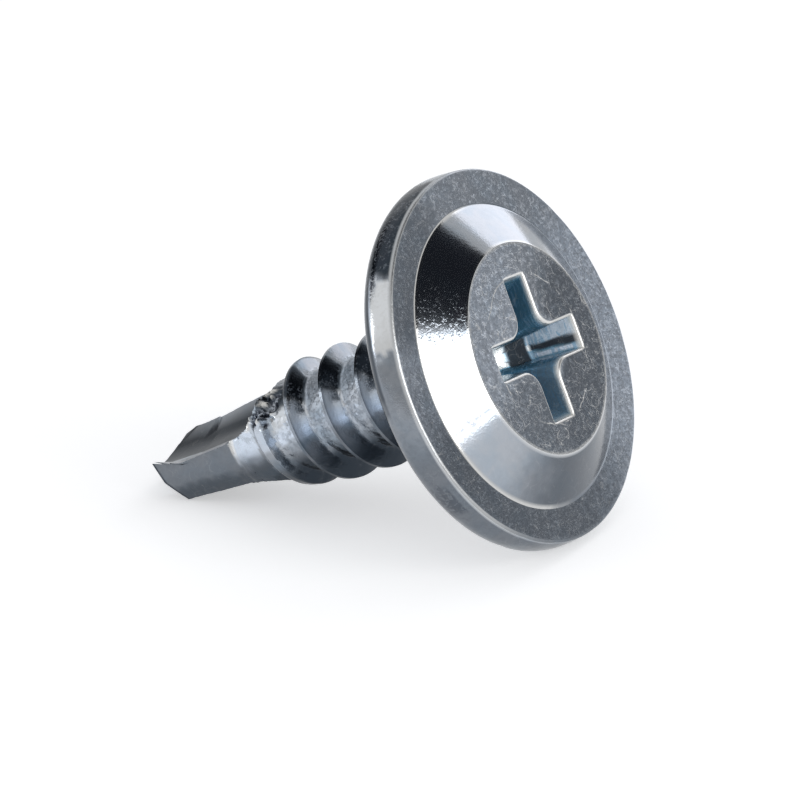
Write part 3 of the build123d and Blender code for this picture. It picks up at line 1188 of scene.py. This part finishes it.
def make_floor():
    """A plain pale floor that keeps the screw's shadow."""
    shader = new_material("pale_floor")
    colour = (FLOOR_COLOUR, FLOOR_COLOUR, FLOOR_COLOUR, 1)
    diffuse = shader.node("ShaderNodeBsdfDiffuse", {}, {"Color": colour})
    white = shader.seen_or_mirrored() * FLOOR_GLOW
    glow = shader.node("ShaderNodeEmission", {}, {"Color": white, "Strength": 1.0})
    surface = shader.node("ShaderNodeAddShader", {}, [diffuse, glow])
    floor = flat_panel("floor", FLOOR_WIDTH, FLOOR_WIDTH, shader.end(surface))
    bpy.context.scene.collection.objects.link(floor)


def make_world():
    """White behind the floor, nearly white in reflections, and plain grey light."""
    world = bpy.data.worlds.new("studio")
    bpy.context.scene.world = world
    shader = Shader(world)
    strength = shader.ray("Is Camera Ray") * (1 - MIRRORED_WHITE) + MIRRORED_WHITE
    values = {"Color": (1, 1, 1, 1), "Strength": strength}
    white = shader.node("ShaderNodeBackground", {}, values)
    grey = shader.node("ShaderNodeBackground", {}, {"Color": (*WORLD_GREY, 1)})
    surface = shader.node("ShaderNodeMixShader", {}, [shader.seen_or_mirrored(), grey, white])
    shader.end(surface, "World")


def toward(azimuth, elevation):
    """A direction from the screw, with angles in degrees."""
    turn, lift = math.radians(azimuth), math.radians(elevation)
    flat = math.cos(lift)
    return Vector((flat * math.cos(turn), flat * math.sin(turn), math.sin(lift)))


def face_screw(thing, direction, distance):
    """Places a light or a card in a direction, turned to the screw."""
    thing.location = LIGHT_AIM + direction * distance
    thing.rotation_euler = (-direction).to_track_quat("-Z", "Y").to_euler()
    bpy.context.scene.collection.objects.link(thing)


def soft_light(name, direction, size, brightness, colour=(1, 1, 1), distance=0.3):
    """A soft light of a plain brightness, where 1 is white."""
    data = bpy.data.lights.new(name, "AREA")
    data.shape = "RECTANGLE"
    data.size, data.size_y = size
    data.energy = brightness * math.pi * size[0] * size[1]
    data.color = colour
    face_screw(bpy.data.objects.new(name, data), direction, distance)


def dark_card(name, direction, size, colour, distance=0.28):
    """A dark studio card, seen only in the metal."""
    shader = new_material(name)
    values = {"Color": (*colour, 1), "Strength": 1.0}
    material = shader.end(shader.node("ShaderNodeEmission", {}, values))
    card = flat_panel(name, *size, material)
    face_screw(card, direction, distance)
    card.visible_camera = False
    card.visible_diffuse = False
    card.visible_shadow = False


def make_lights():
    """Soft lights over the head, and the dark cards between them."""
    soft_light("key", toward(-10, 18), (0.13, 0.23), 3.8)
    soft_light("side", toward(90, 24), (0.13, 0.15), 1.2, (0.95, 0.94, 1.0))
    soft_light("left", toward(-148, 14), (0.05, 0.09), 2.2)
    dark_card("card_top", toward(32, 57), (0.26, 0.14), (0.02, 0.022, 0.028))
    dark_card("card_back", toward(56, 8), (0.17, 0.10), (0.25, 0.27, 0.30))
    dark_card("card_left", toward(176, 30), (0.20, 0.09), (0.03, 0.035, 0.05))


class SCREW_PT_panel(bpy.types.Panel):
    """Lists what the screw is made of"""

    bl_label = "Self drilling screw"
    bl_space_type = "VIEW_3D"
    bl_region_type = "UI"
    bl_category = "Screw"

    def draw(self, context):
        layout = self.layout
        for group in ("screw_head", "screw_shank", "screw_point", "screw_colours"):
            box = layout.box()
            values = getattr(context.scene, group)
            for name in values.__annotations__:
                box.prop(values, name)
        layout.operator(SCREW_OT_build.bl_idname)
        layout.operator(SCREW_OT_studio.bl_idname)


CLASSES = (
    HeadSizes,
    ShankSizes,
    PointSizes,
    ZincColours,
    SCREW_OT_build,
    SCREW_OT_studio,
    SCREW_PT_panel,
)
GROUPS = {
    "screw_head": HeadSizes,
    "screw_shank": ShankSizes,
    "screw_point": PointSizes,
    "screw_colours": ZincColours,
}


def register():
    """Adds the classes and the sizes that they keep on the scene."""
    for kind in CLASSES:
        bpy.utils.register_class(kind)
    for name, kind in GROUPS.items():
        setattr(bpy.types.Scene, name, PointerProperty(type=kind))


def unregister():
    """Takes the sizes and the classes away again."""
    for name in GROUPS:
        delattr(bpy.types.Scene, name)
    for kind in reversed(CLASSES):
        bpy.utils.unregister_class(kind)


def main():
    """Builds the screw and its studio."""
    register()
    bpy.ops.screw.build()
    bpy.ops.screw.studio()


if __name__ == "__main__":
    main()
